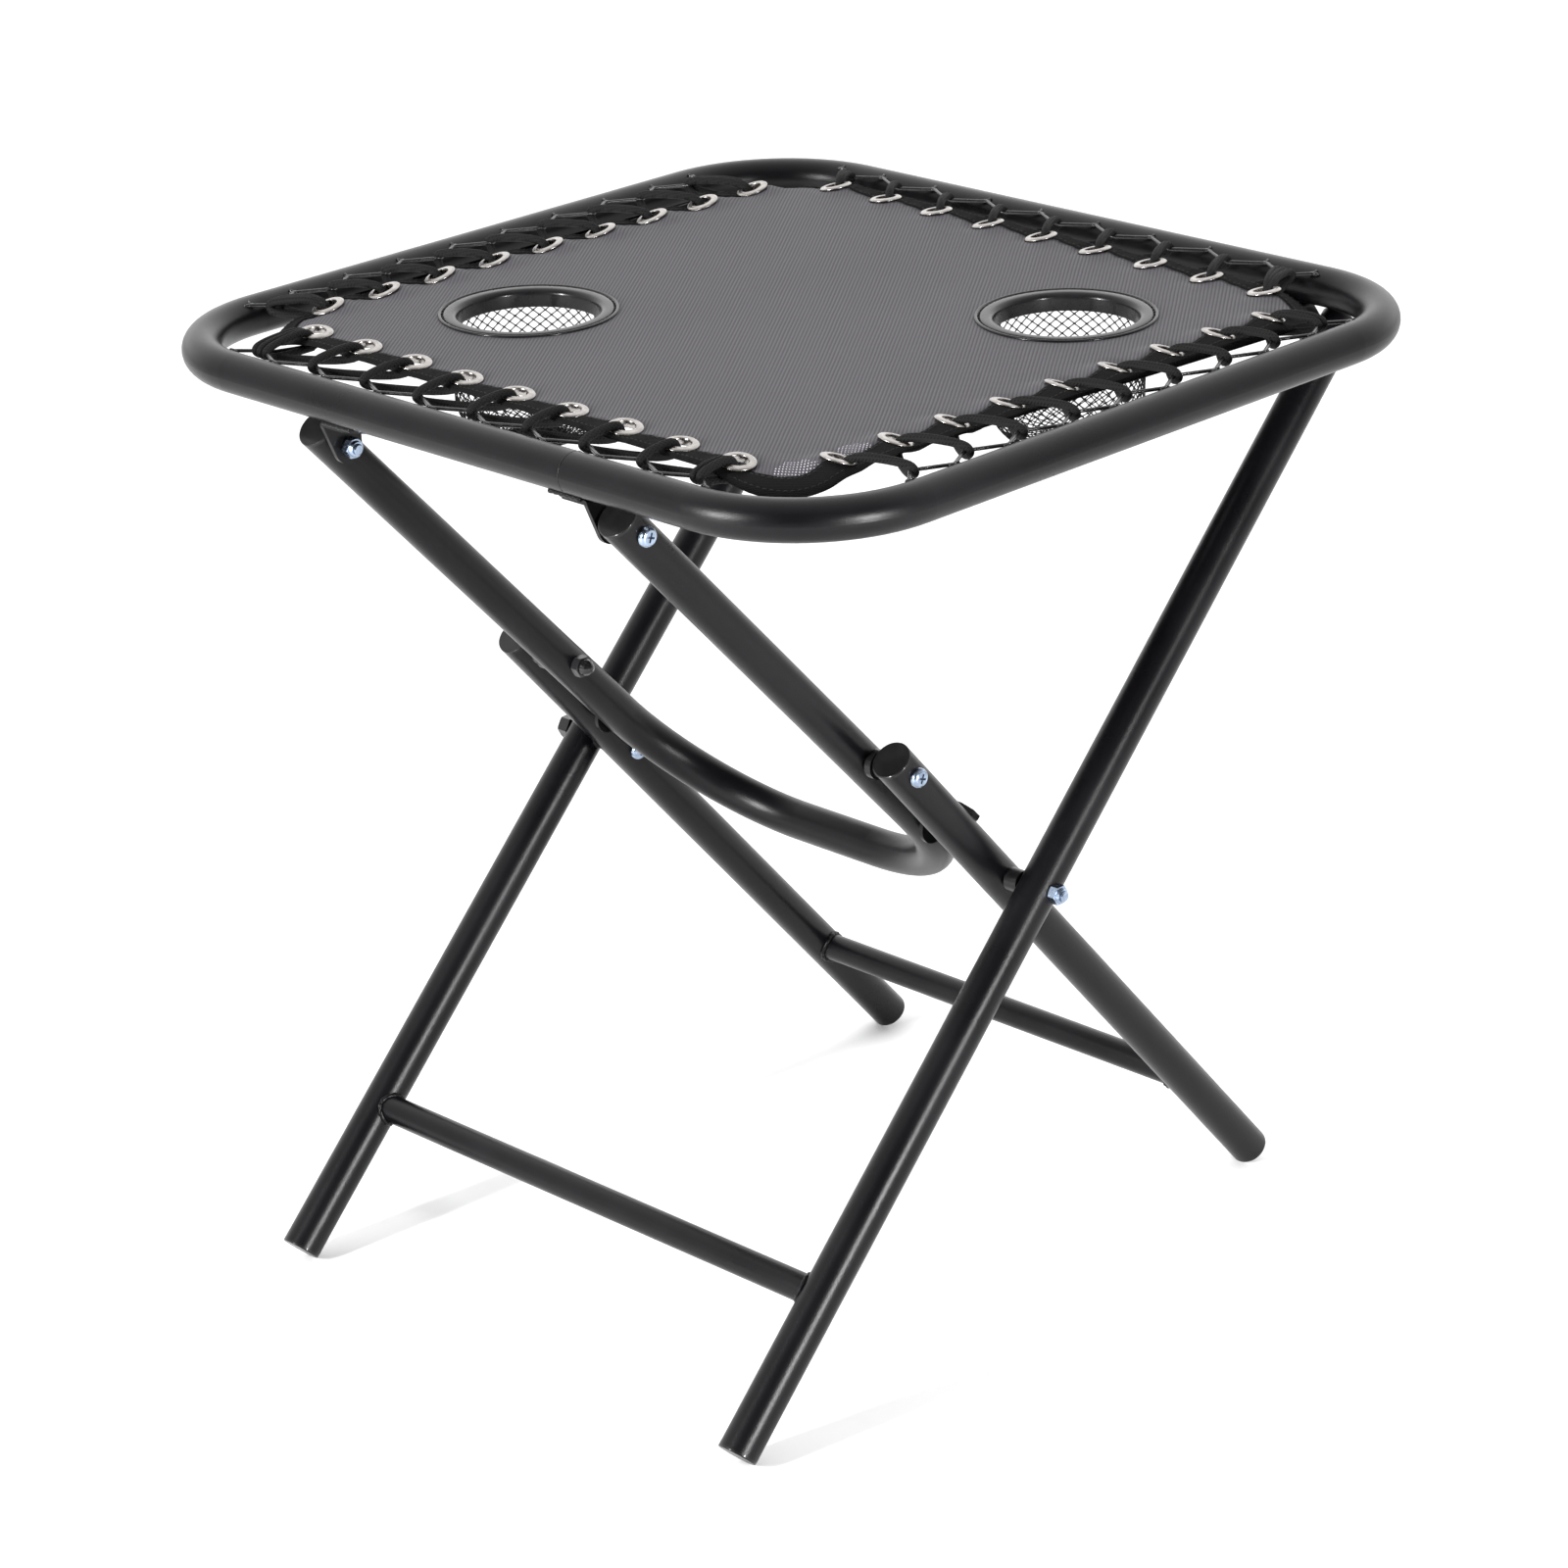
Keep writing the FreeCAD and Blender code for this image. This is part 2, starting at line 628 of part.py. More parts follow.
def lacing_wire(side):
    """Zigzag wire with its outer bends welded to the inner top of the ring."""
    outward, along = SIDES[side]
    _, ring_half, pitch = side_sizes(side)
    to_weld = outward * wire_depth + V(0, 0, ring_z + weld_up - fabric_z + wire_drop)
    steps = side_steps()
    route = [wire_bend(side, steps[0]) + to_weld - along * pitch * 0.3]
    for step in steps:
        bend = wire_bend(side, step)
        reach = 0.3 if step == steps[-1] else 0.5
        route.append(bend)
        route.append(bend + to_weld + along * pitch * reach)
    return bent_rod(route, wire_r, 3.0)


# ---- all the nodes --------------------------------------------------------------------
def build():
    nodes = {"top_ring": top_ring(), "fabric_panel": fabric_panel(), "edge_binding": edge_binding()}
    names = {-1: "front", 1: "back"}
    outer_pins, arm_pins, leg_pins, links = [], [], [], []
    for side in FRONT_BACK:
        end = names[side]
        nodes["arm_bracket_" + end] = bracket(arm_pivot, -ring_half_x, arm_y, side)
        nodes["leg_bracket_" + end] = bracket(outer_pivot, ring_half_x, outer_y, side)
        nodes["outer_leg_" + end] = leg(outer_foot, outer_top, outer_dir, side * outer_y,
                                        (leg_pivot, outer_pivot))
        nodes["inner_leg_" + end] = leg(inner_foot, inner_top, inner_dir, side * inner_y,
                                        (leg_pivot, link_pivot))
        outer_pins.append(bracket_pivot(outer_pivot, outer_y, side))
        arm_pins.append(bracket_pivot(arm_pivot, arm_y, side))
        leg_pins.append(leg_pivot_set(side))
        links.append(link_set(side))
    nodes["outer_crossbar"] = crossbar(outer_bar, outer_y, outer_dir)
    nodes["inner_crossbar"] = crossbar(inner_bar, inner_y, inner_dir)
    nodes["support_arm"] = support_arm()
    nodes["arm_stops"] = group([arm_stop(side) for side in FRONT_BACK])
    nodes["outer_foot_plugs"] = plug_pair(outer_foot, outer_dir * -1, outer_y)
    nodes["outer_top_plugs"] = plug_pair(outer_top, outer_dir, outer_y)
    nodes["inner_foot_plugs"] = plug_pair(inner_foot, inner_dir * -1, inner_y)
    nodes["inner_top_plugs"] = plug_pair(inner_top, inner_dir, inner_y)
    nodes["arm_end_plugs"] = plug_pair(arm_top, arm_dir * -1, arm_y)
    pin_names = ("bolts", "washers", "nuts")
    for index, kind in enumerate(pin_names):
        nodes["leg_top_" + kind] = group([pin[index] for pin in outer_pins])
        nodes["arm_top_" + kind] = group([pin[index] for pin in arm_pins])
    nodes["leg_pivot_bolts"] = group([bolt for bolt, _, _ in leg_pins])
    nodes["leg_pivot_spacers"] = group([spacer for _, spacer, _ in leg_pins])
    for end, (_, _, nut) in zip(("front", "back"), leg_pins):
        nodes["leg_pivot_nut_" + end] = nut
    for index, kind in enumerate(("bolts", "spacers", "washers", "studs", "nuts", "nut_caps")):
        nodes["link_" + kind] = group([link[index] for link in links])
    for side in SIDES:
        nodes["grommets_" + side] = group([grommet(centre) for centre in grommet_centres(side)])
        nodes["elastic_cord_" + side] = elastic_cord(side)
        nodes["lacing_wire_" + side] = lacing_wire(side)
    for name, sign in (("left", -1), ("right", 1)):
        nodes["cup_ring_" + name] = cup_ring(cup_centre(sign))
        nodes["cup_net_" + name] = cup_net(cup_centre(sign))
    return nodes


def main():
    os.makedirs("parts", exist_ok=True)
    for name, shape in build().items():
        shape.exportStep("parts/" + name + ".step")
        box = shape.BoundBox
        print(f"{name:22s} solids {len(shape.Solids):2d} valid {shape.isValid()} "
              f"volume {shape.Volume:10.1f}  z {box.ZMin:7.2f} to {box.ZMax:7.2f}")


main()
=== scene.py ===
import bpy
import json
import math
import random
import numpy as np
from mathutils import Matrix, Vector
from mathutils.geometry import delaunay_2d_cdt


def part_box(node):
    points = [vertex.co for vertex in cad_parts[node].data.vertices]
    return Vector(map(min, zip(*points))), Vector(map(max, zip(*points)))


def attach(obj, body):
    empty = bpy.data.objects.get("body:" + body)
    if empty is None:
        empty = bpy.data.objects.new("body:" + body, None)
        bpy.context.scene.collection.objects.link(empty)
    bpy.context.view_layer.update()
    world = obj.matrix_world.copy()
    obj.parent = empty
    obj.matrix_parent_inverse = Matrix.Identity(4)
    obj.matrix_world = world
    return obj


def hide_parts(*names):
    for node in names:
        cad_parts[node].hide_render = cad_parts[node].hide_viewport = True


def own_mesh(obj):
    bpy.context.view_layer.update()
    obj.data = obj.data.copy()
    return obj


# Folding side table: the looks of its laced top, cup sleeves, lacing, welds and materials.
# Metres, +Z up, ground at z = 0, origin on the ground under the middle of the ring.

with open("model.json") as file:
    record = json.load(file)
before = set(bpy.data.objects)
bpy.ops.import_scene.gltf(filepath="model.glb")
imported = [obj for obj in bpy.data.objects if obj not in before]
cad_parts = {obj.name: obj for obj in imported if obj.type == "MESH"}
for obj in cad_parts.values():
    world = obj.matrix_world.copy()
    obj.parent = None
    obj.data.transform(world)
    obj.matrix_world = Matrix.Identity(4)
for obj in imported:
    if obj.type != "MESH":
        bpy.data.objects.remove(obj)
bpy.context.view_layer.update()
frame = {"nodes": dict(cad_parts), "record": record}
record = frame["record"]
random.seed(7)

# ---- sizes, in metres, that the laced top shares with the CAD model ---------------------
MM = 0.001
RING_Z = 526.3 * MM
RING_HALF_X = 240 * MM
RING_HALF_Y = 250 * MM
TUBE_R = 11 * MM
FABRIC_Z = 536.2 * MM
PANEL_TURN = math.radians(-2.15)  # how far the lacing turns and pulls the fabric off the middle
PANEL_SHIFT = Vector((-2.3 * MM, -4.5 * MM, 0))
LINE_X = 191.7 * MM            # grommet lines
LINE_Y = 199.2 * MM
PER_SIDE = 9
PITCH_X = 39.2 * MM
PITCH_Y = 41.4 * MM
HEM = 12.5 * MM
HEM_T = 2.4 * MM
FABRIC_T = 1.0 * MM
PANEL_CORNER = 24 * MM
CORNER_DROOP = 7.5 * MM        # loose corners hang this far at their tips
DROOP_REACH = 24 * MM          # from the line through a corner's two grommets to its tip
BARREL_R = 6.1 * MM            # grommet's barrel, through the hem
CUP_R = 38.5 * MM
CUPS = {"left": Vector((-88.5 * MM, 108.9 * MM)), "right": Vector((85.5 * MM, -122.5 * MM))}
NET_R = 42.9 * MM
NET_DEPTH = 69.5 * MM
NET_CORNER = 24 * MM
CORD_R = 2.3 * MM
WIRE_R = 1.0 * MM
WELD_IN = 7.8 * MM
WELD_UP = 8.7 * MM
WIRE_DEPTH = 11 * MM
WIRE_DROP = 1.6 * MM
APEX_AHEAD = {"left": -5.0 * MM, "front": 6.0 * MM, "right": 6.5 * MM, "back": 4.0 * MM}

# Each side's outward direction, and the direction in which its cord runs.
SIDES = {
    "left": (Vector((-1, 0, 0)), Vector((0, -1, 0))),
    "front": (Vector((0, -1, 0)), Vector((1, 0, 0))),
    "right": (Vector((1, 0, 0)), Vector((0, 1, 0))),
    "back": (Vector((0, 1, 0)), Vector((-1, 0, 0))),
}
UP = Vector((0, 0, 1))

# Two spots of the mesh, near the front corner, whose holes the lacing pulls open; the light seen through
# these holes is painted into the cloth's colour as pale holes.
PULLED_OPEN_LIGHT_SPOTS = (Vector((-188 * MM, -191 * MM, FABRIC_Z)), Vector((-149 * MM, -193 * MM, FABRIC_Z)))

CAMERA_PLACE = (-1.76616, -1.77451, 1.27840)
CAMERA_HEADING = math.radians(-44.61)
CAMERA_DIP = math.radians(22.06)
CAMERA_ROLL = math.radians(-1.99)
CAMERA_LENS = 111.61           # on a 36 mm wide film


# ---- camera, light and floor ------------------------------------------------------------
def make_camera():
    """Long lens from the front left corner, looking down at the top."""
    data = bpy.data.cameras.new("camera")
    data.lens = CAMERA_LENS
    data.sensor_width = 36
    data.clip_end = 50
    camera = bpy.data.objects.new("camera", data)
    bpy.context.collection.objects.link(camera)
    heading = Matrix.Rotation(CAMERA_HEADING, 4, "Z")
    tilt = Matrix.Rotation(math.pi / 2 - CAMERA_DIP, 4, "X")
    roll = Matrix.Rotation(CAMERA_ROLL, 4, "Z")
    place = Matrix.Translation(CAMERA_PLACE)
    camera.matrix_world = place @ heading @ tilt @ roll
    bpy.context.scene.camera = camera


def soft_light(name, place, target, size, power):
    data = bpy.data.lights.new(name, "AREA")
    data.shape = "RECTANGLE"
    data.size, data.size_y = size
    data.energy = power
    light = bpy.data.objects.new(name, data)
    bpy.context.collection.objects.link(light)
    light.location = place
    aim = Vector(target) - Vector(place)
    light.rotation_euler = aim.to_track_quat("-Z", "Y").to_euler()


def make_sky():
    """White light tent: palest beyond the table, dim on the camera's side."""
    world = bpy.data.worlds.new("studio")
    world.use_nodes = True
    nodes, links = world.node_tree.nodes, world.node_tree.links
    sky = nodes["Background"]
    sky.inputs["Color"].default_value = (1.0, 1.0, 1.0, 1)
    toward = nodes.new("ShaderNodeVectorMath")
    toward.operation = "DOT_PRODUCT"
    toward.inputs[1].default_value = (0.66, 0.66, 0.36)
    links.new(nodes.new("ShaderNodeTexCoord").outputs["Generated"], toward.inputs[0])
    span = nodes.new("ShaderNodeMapRange")
    span.inputs["From Min"].default_value = -0.45
    span.inputs["From Max"].default_value = 0.75
    span.inputs["To Min"].default_value = 0.15
    span.inputs["To Max"].default_value = 1.85
    links.new(toward.outputs["Value"], span.inputs["Value"])
    links.new(span.outputs["Result"], sky.inputs["Strength"])
    bpy.context.scene.world = world


def make_studio():
    """White floor in a light tent, with two tall narrow softboxes."""
    bpy.context.scene.view_settings.view_transform = "Standard"
    make_sky()
    soft_light("left_box", (-2.9, 0.5, 1.2), (0, 0, 0.35), (0.22, 0.9), 140)
    soft_light("front_box", (-0.5, -3.0, 0.72), (0, 0, 0.35), (0.20, 0.8), 120)
    bpy.ops.mesh.primitive_plane_add(size=60, location=(0, 0, 0))
    floor = bpy.context.object
    floor.name = "floor"
    look = Graph("floor_white")
    dust = look.noise(6.0, 3)
    look.shader_input("Base Color", look.ramp(dust, (0.3, (0.89, 0.89, 0.89)), (0.7, (0.90, 0.90, 0.90))))
    look.shader_input("Roughness", 0.6)
    look.shader_input("Specular IOR Level", 0.3)
    floor.data.materials.append(look.material)


# ---- materials --------------------------------------------------------------------------
class Graph:
    """A node material whose textures lie in the table's own metres."""

    def __init__(self, name):
        self.material = bpy.data.materials.new(name)
        self.material.use_nodes = True
        self.tree = self.material.node_tree
        self.shader = self.tree.nodes["Principled BSDF"]
        self.place = self.tree.nodes.new("ShaderNodeTexCoord").outputs["Object"]

    def feed(self, socket, value):
        if isinstance(value, bpy.types.NodeSocket):
            self.tree.links.new(value, socket)
        elif isinstance(value, tuple) and len(value) == 3 and socket.type == "RGBA":
            socket.default_value = (*value, 1)
        else:
            socket.default_value = value

    def shader_input(self, name, value):
        self.feed(self.shader.inputs[name], value)

    def noise(self, scale, detail=2, place=None):
        node = self.tree.nodes.new("ShaderNodeTexNoise")
        node.inputs["Scale"].default_value = scale
        node.inputs["Detail"].default_value = detail
        self.feed(node.inputs["Vector"], place or self.place)
        return node.outputs["Fac"]

    def math(self, operation, first, second=0.0, third=0.0):
        node = self.tree.nodes.new("ShaderNodeMath")
        node.operation = operation
        for socket, value in zip(node.inputs, (first, second, third)):
            self.feed(socket, value)
        return node.outputs["Value"]

    def along(self, direction, pitch, phase=0.0):
        """Smooth stripes from 0 to 1, square to a direction, one every pitch."""
        dot = self.tree.nodes.new("ShaderNodeVectorMath")
        dot.operation = "DOT_PRODUCT"
        self.feed(dot.inputs[0], self.place)
        dot.inputs[1].default_value = Vector(direction).normalized() * (2 * math.pi / pitch)
        wave = self.math("SINE", self.math("ADD", dot.outputs["Value"], phase))
        return self.math("MULTIPLY_ADD", wave, 0.5, 0.5)

    def ramp(self, value, low, high):
        """Colour or grey between two (place, value) stops."""
        node = self.tree.nodes.new("ShaderNodeValToRGB")
        for element, (place, colour) in zip(node.color_ramp.elements, (low, high)):
            element.position = place
            element.color = (*colour, 1) if isinstance(colour, tuple) else (colour, colour, colour, 1)
        self.feed(node.inputs["Fac"], value)
        return node.outputs["Color"]

    def near(self, point, reach):
        """1 at a point, falling to 0 at a distance from it."""
        gap = self.tree.nodes.new("ShaderNodeVectorMath")
        gap.operation = "DISTANCE"
        self.feed(gap.inputs[0], self.place)
        gap.inputs[1].default_value = point
        return self.math("MAXIMUM", self.math("MULTIPLY_ADD", gap.outputs["Value"], -1 / reach, 1.0), 0.0)

    def times(self, first, second):
        """One colour multiplied by another."""
        node = self.tree.nodes.new("ShaderNodeMix")
        node.data_type = "RGBA"
        node.blend_type = "MULTIPLY"
        for index, value in ((0, 1.0), (6, first), (7, second)):
            self.feed(node.inputs[index], value)
        return node.outputs[2]

    def bump(self, height, depth, strength=1.0):
        node = self.tree.nodes.new("ShaderNodeBump")
        node.inputs["Strength"].default_value = strength
        node.inputs["Distance"].default_value = depth
        self.feed(node.inputs["Height"], height)
        self.shader_input("Normal", node.outputs["Normal"])


def coated_steel(name, colour, rough, grain_depth, specular=0.19):
    """Powder coat: fine orange-peel grain, with slightly worn, paler cloudy areas."""
    look = Graph(name)
    grain = look.noise(1500, 3)
    cloud = look.noise(14, 4)
    pale = tuple(c * 1.5 + 0.0015 for c in colour)
    look.shader_input("Base Color", look.ramp(cloud, (0.35, colour), (0.75, pale)))
    look.shader_input("Roughness", look.ramp(cloud, (0.3, rough), (0.7, rough + 0.08)))
    look.shader_input("Specular IOR Level", specular)
    look.bump(grain, grain_depth, 0.6)
    return look.material


def powder_coat():
    return coated_steel("powder_coat_black", (0.0016, 0.0014, 0.0020), 0.26, 0.00015)


def bracket_coat():
    return coated_steel("bracket_coat_black", (0.0018, 0.0018, 0.0021), 0.27, 0.00010)


def moulded(name, colour, rough, grain, coat=0.0):
    """Moulded plastic: fine spark-eroded grain and faint rubbed streaks."""
    look = Graph(name)
    cloud = look.noise(60, 4)
    pale = tuple(c * 1.6 + 0.003 for c in colour)
    look.shader_input("Base Color", look.ramp(cloud, (0.4, colour), (0.8, pale)))
    look.shader_input("Roughness", look.ramp(cloud, (0.35, rough), (0.75, rough + 0.07)))
    look.shader_input("Specular IOR Level", 0.15)
    look.shader_input("Coat Weight", coat)
    look.shader_input("Coat Roughness", 0.12)
    look.bump(look.noise(2200, 2), grain, 0.4)
    return look.material


def black_plastic():
    return moulded("plug_plastic", (0.0045, 0.0045, 0.0045), 0.36, 0.00008, 0.25)


def cup_plastic():
    return moulded("cup_plastic_black", (0.005, 0.005, 0.0055), 0.25, 0.00004, 0.10)


def cap_plastic():
    return moulded("cap_plastic_black", (0.004, 0.004, 0.004), 0.12, 0.00001, 0.6)


def nylon():
    return moulded("nylon_black", (0.006, 0.006, 0.0065), 0.30, 0.00004, 0.2)


def plated(name, colour, tint, rough):
    """Plated metal: a warm and a cool shade in clouds, with fine brushed lines."""
    look = Graph(name)
    cloud = look.noise(260, 4)
    look.shader_input("Base Color", look.ramp(cloud, (0.35, colour), (0.7, tint)))
    look.shader_input("Metallic", 1.0)
    look.shader_input("Roughness", look.ramp(look.noise(900, 3), (0.3, rough), (0.75, rough + 0.14)))
    look.bump(look.noise(1300, 2), 0.00008, 0.35)
    return look.material


def nickel():
    return plated("nickel_plate", (0.37, 0.35, 0.335), (0.26, 0.245, 0.235), 0.22)


def zinc():
    return plated("blue_zinc", (0.36, 0.44, 0.56), (0.22, 0.27, 0.36), 0.17)


def black_steel():
    return coated_steel("black_oxide_steel", (0.008, 0.008, 0.009), 0.24, 0.00005, 0.4)


def wire_coat():
    look = Graph("wire_black")
    cloud = look.noise(300, 3)
    low, high = (0.4, (0.006, 0.006, 0.0065)), (0.8, (0.014, 0.013, 0.013))
    look.shader_input("Base Color", look.ramp(cloud, low, high))
    look.shader_input("Roughness", look.ramp(cloud, (0.35, 0.16), (0.7, 0.30)))
    look.bump(look.noise(1800, 2), 0.00006, 0.4)
    return look.material


def mesh_fabric():
    """Grey coated mesh: ribs, finer cross yarns, and painted light: pale holes where a corner is pulled
    open, standing for the white seen through them.
    """
    look = Graph("mesh_fabric_grey")
    drift = look.math("MULTIPLY", look.noise(28, 3), 2.2)
    rib = look.along((0.6, -0.8, 0), 1.95 * MM, drift)
    yarn = look.along((0.8, 0.6, 0), 1.1 * MM, drift)
    cloud = look.noise(9, 4)
    weave = look.math("MULTIPLY_ADD", yarn, 0.35, rib)
    low, high = (0.10, (0.042, 0.0394, 0.0454)), (1.15 / 1.35, (0.0625, 0.0589, 0.0669))
    grey = look.ramp(weave, low, high)
    dim = look.ramp(cloud, (0.3, (0.90, 0.90, 0.90)), (0.7, (1.0, 1.0, 1.0)))
    rows = look.along((0.6, -0.8, 0), 1.7 * MM)
    columns = look.along((0.8, 0.6, 0), 2.1 * MM)
    holes = look.math("GREATER_THAN", look.math("MULTIPLY", rows, columns), 0.62)
    # Painted light: near the two spots the hole pattern is brightened up to ninefold, as if the white
    # floor shows through the pulled-open holes.
    light_spot_falloff = look.math("MAXIMUM", look.near(PULLED_OPEN_LIGHT_SPOTS[0], 15 * MM), look.near(PULLED_OPEN_LIGHT_SPOTS[1], 12 * MM))
    painted_light_mask = look.math("GREATER_THAN", light_spot_falloff, look.math("MULTIPLY", look.noise(160, 2), 0.5))
    see_through_light = look.math("MULTIPLY_ADD", look.math("MULTIPLY", holes, painted_light_mask), 8.0, 1.0)
    look.shader_input("Base Color", look.times(look.times(grey, dim), see_through_light))
    look.shader_input("Roughness", look.ramp(weave, (0.2, 0.78), (0.9, 0.58)))
    look.shader_input("Specular IOR Level", 0.3)
    look.bump(weave, 0.0003, 0.4)
    return look.material


def binding():
    """Black woven tape: a fine twill with fluff that lifts it a little."""
    look = Graph("binding_black")
    twill = look.along((1, 0.9, 0.2), 1.1 * MM, look.math("MULTIPLY", look.noise(90, 2), 3.0))
    fluff = look.noise(700, 4)
    weave = look.math("MULTIPLY_ADD", fluff, 0.8, twill)
    low, high = (0.2, (0.003, 0.003, 0.003)), (0.95, (0.010, 0.0095, 0.0095))
    look.shader_input("Base Color", look.ramp(weave, low, high))
    look.shader_input("Roughness", look.ramp(fluff, (0.3, 0.82), (0.7, 0.95)))
    look.shader_input("Specular IOR Level", 0.06)
    look.bump(weave, 0.0003, 0.6)
    return look.material


def yarn_black(name, low, high, pitch, depth):
    """Twisted or braided black yarn: two crossing sets of fine strands and fluff."""
    look = Graph(name)
    first = look.along((1, 0.55, 0.7), pitch)
    second = look.along((0.55, -1, -0.7), pitch)
    braid = look.math("MAXIMUM", first, second)
    fluff = look.noise(1100, 3)
    weave = look.math("MULTIPLY_ADD", fluff, 0.6, braid)
    look.shader_input("Base Color", look.ramp(weave, (0.35, low), (0.95, high)))
    look.shader_input("Roughness", look.ramp(fluff, (0.3, 0.62), (0.7, 0.85)))
    look.shader_input("Specular IOR Level", 0.10)
    look.bump(weave, depth, 0.7)
    return look.material


def elastic():
    low, high = (0.0025, 0.0025, 0.0025), (0.011, 0.0105, 0.0105)
    return yarn_black("elastic_braid", low, high, 1.5 * MM, 0.00030)


def net():
    return yarn_black("net_yarn", (0.004, 0.004, 0.004), (0.012, 0.012, 0.012), 0.7 * MM, 0.00012)


def thread():
    return yarn_black("thread_black", (0.006, 0.006, 0.006), (0.022, 0.021, 0.021), 0.6 * MM, 0.00010)


def make_materials():
    makers = {"powder_coat": powder_coat, "bracket_coat": bracket_coat, "black_plastic": black_plastic,
              "cup_plastic": cup_plastic, "cap_plastic": cap_plastic, "mesh_fabric": mesh_fabric,
              "binding": binding, "net": net, "elastic": elastic, "wire": wire_coat,
              "nickel": nickel, "zinc": zinc, "black_steel": black_steel, "nylon": nylon,
              "thread": thread}
    return {name: make() for name, make in makers.items()}


def dress_cad_nodes(looks):
    """Give every CAD node its material slot's finish."""
    for part in record["subparts"]:
        obj = frame["nodes"][part["node"]]
        for place in obj.material_slots:
            place.material = looks[part["material_slot"]]


# ---- mesh helpers -----------------------------------------------------------------------
class Shape:
    """Vertices and faces that gather into one piece."""

    def __init__(self):
        self.points = []
        self.faces = []

    def add(self, points, faces):
        base = len(self.points)
        self.points += [tuple(p) for p in points]
        self.faces += [[base + index for index in face] for face in faces]

    def piece(self, name, look, slot, body, *stands_for):
        mesh = bpy.data.meshes.new(name)
        mesh.from_pydata(self.points, [], self.faces)
        mesh.shade_smooth()
        mesh.materials.append(look)
        obj = bpy.data.objects.new(name, mesh)
        bpy.context.collection.objects.link(obj)
        return own(obj, slot, body, *stands_for)


def own(obj, slot, body, *stands_for):
    """Attach a new piece to its body's empty and hide the CAD nodes it stands for; the slot is not used.
    """
    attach(obj, body)
    if stands_for:
        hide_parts(*stands_for)
    return obj


def across(direction):
    """Two unit directions square to a direction and to each other."""
    helper = UP if abs(direction.z) < 0.9 else Vector((1, 0, 0))
    first = direction.cross(helper).normalized()
    return first, direction.cross(first).normalized()


def tube(points, radii, sides, closed=False):
    """Round tube through points, one radius to each: (points, faces)."""
    count = len(points)
    rings = []
    first = None
    for index, point in enumerate(points):
        before = points[index - 1] if index or closed else point
        after = points[(index + 1) % count] if index < count - 1 or closed else point
        ahead = (after - before).normalized()
        if first is None:
            first = across(ahead)[0]
        first = (first - ahead * first.dot(ahead)).normalized()
        second = ahead.cross(first)
        for side in range(sides):
            angle = 2 * math.pi * side / sides
            rings.append(point + (first * math.cos(angle) + second * math.sin(angle)) * radii[index])
    faces = []
    for index in range(count if closed else count - 1):
        low, high = index * sides, (index + 1) % count * sides
        for side in range(sides):
            following = (side + 1) % sides
            faces.append([low + side, low + following, high + following, high + side])
    if not closed:
        faces.append(list(range(sides))[::-1])
        faces.append([(count - 1) * sides + side for side in range(sides)])
    return rings, faces


def lathe(profile, place, turns):
    """Closed (radius, height) outline turned round the Z axis of a placing matrix."""
    count = len(profile)
    points = []
    faces = []
    for turn in range(turns):
        angle = 2 * math.pi * turn / turns
        points += [place @ Vector((r * math.cos(angle), r * math.sin(angle), z)) for r, z in profile]
        low, high = turn * count, (turn + 1) % turns * count
        for index in range(count):
            following = (index + 1) % count
            faces.append([low + index, high + index, high + following, low + following])
    return points, faces


def arc(centre, radius, start, end, steps):
    """Points on an arc in a (radius, height) outline, angles in degrees."""
    angles = [math.radians(start + (end - start) * i / steps) for i in range(steps + 1)]
    return [(centre[0] + radius * math.cos(a), centre[1] + radius * math.sin(a)) for a in angles]


def blob(place, size, along):
    """Small uneven bead, longest along one direction."""
    first, second = across(along)
    rows, sides = 5, 8
    points = []
    for row in range(rows):
        up = math.pi * (row + 0.5) / rows
        for side in range(sides):
            angle = 2 * math.pi * side / sides
            swell = random.uniform(0.88, 1.12)
            offset = along * math.cos(up) * size[0]
            girth = first * math.cos(angle) * size[1] + second * math.sin(angle) * size[2]
            offset += girth * math.sin(up) * swell
            points.append(place + offset)
    faces = []
    for row in range(rows - 1):
        for side in range(sides):
            following = (side + 1) % sides
            low, high = row * sides, (row + 1) * sides
            faces.append([low + side, high + side, high + following, low + following])
    faces.append(list(range(sides)))
    faces.append([(rows - 1) * sides + side for side in range(sides)][::-1])
    return points, faces


# ---- the laced panel's plan and height ----------------------------------------------------
def side_sizes(side):
    """Grommet line and ring centreline from the middle, and the pitch along the side."""
    if side in ("left", "right"):
        return LINE_X, RING_HALF_X, PITCH_Y
    return LINE_Y, RING_HALF_Y, PITCH_X


def side_steps():
    middle = (PER_SIDE - 1) / 2
    return [index - middle for index in range(PER_SIDE)]


def laced(point):
    """A point of the untouched panel, where the lacing holds it."""
    return Matrix.Rotation(PANEL_TURN, 3, "Z") @ point + PANEL_SHIFT


def grommet_centres(side):
    outward, along = SIDES[side]
    line, _, pitch = side_sizes(side)
    return [laced(outward * line + along * step * pitch) for step in side_steps()]


# How far the cord pulls each side's grommets over: outward, and along the side, in degrees.
PULL = {"left": (3.5, 7.5), "front": (6.5, 17), "right": (-2, 10), "back": (11, 16)}


def grommet_tilts():
    """Centre and slope of every grommet: the slope points the way that the cord pulls."""
    tilts = []
    for side, (outward, along) in SIDES.items():
        for centre in grommet_centres(side):
            out, ahead = (math.tan(math.radians(angle + random.uniform(-3, 3))) for angle in PULL[side])
            tilts.append((side, centre, outward * out + along * ahead))
    return tilts


TILTS = grommet_tilts()
TILT_REACH = 13.5 * MM


def unlaced(x, y):
    """Distances along the panel's own two directions, from its middle."""
    x, y = x - PANEL_SHIFT.x, y - PANEL_SHIFT.y
    back_x = x * math.cos(PANEL_TURN) + y * math.sin(PANEL_TURN)
    back_y = y * math.cos(PANEL_TURN) - x * math.sin(PANEL_TURN)
    return np.abs(back_x), np.abs(back_y)


